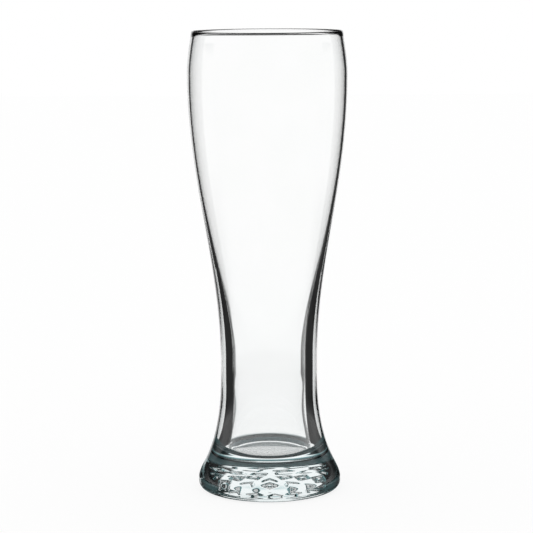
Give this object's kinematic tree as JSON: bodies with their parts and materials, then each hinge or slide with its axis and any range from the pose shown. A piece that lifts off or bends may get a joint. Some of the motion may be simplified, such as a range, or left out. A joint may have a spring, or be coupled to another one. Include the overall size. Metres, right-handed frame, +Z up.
{
  "type": "beer schooner",
  "caption": "Tall clear beer glass: thick solid foot with a rounded edge, narrow thick-walled waist, thin bowl that swells and draws in to a rounded mouth. Holds a schooner of beer.",
  "frame": {"origin": "centre of the bearing ring that the glass stands on, on the table's surface", "axes": "+Z up along the axis that the glass is turned about; it is the same all round, so +X and +Y are free"},
  "size_m": [0.0732, 0.0732, 0.212],
  "materials": {
    "clear_glass": "polished"
  },
  "bodies": {
    "root": {"foot": "clear_glass", "waist": "clear_glass", "bowl": "clear_glass", "rim": "clear_glass"}
  },
  "joints": []
}
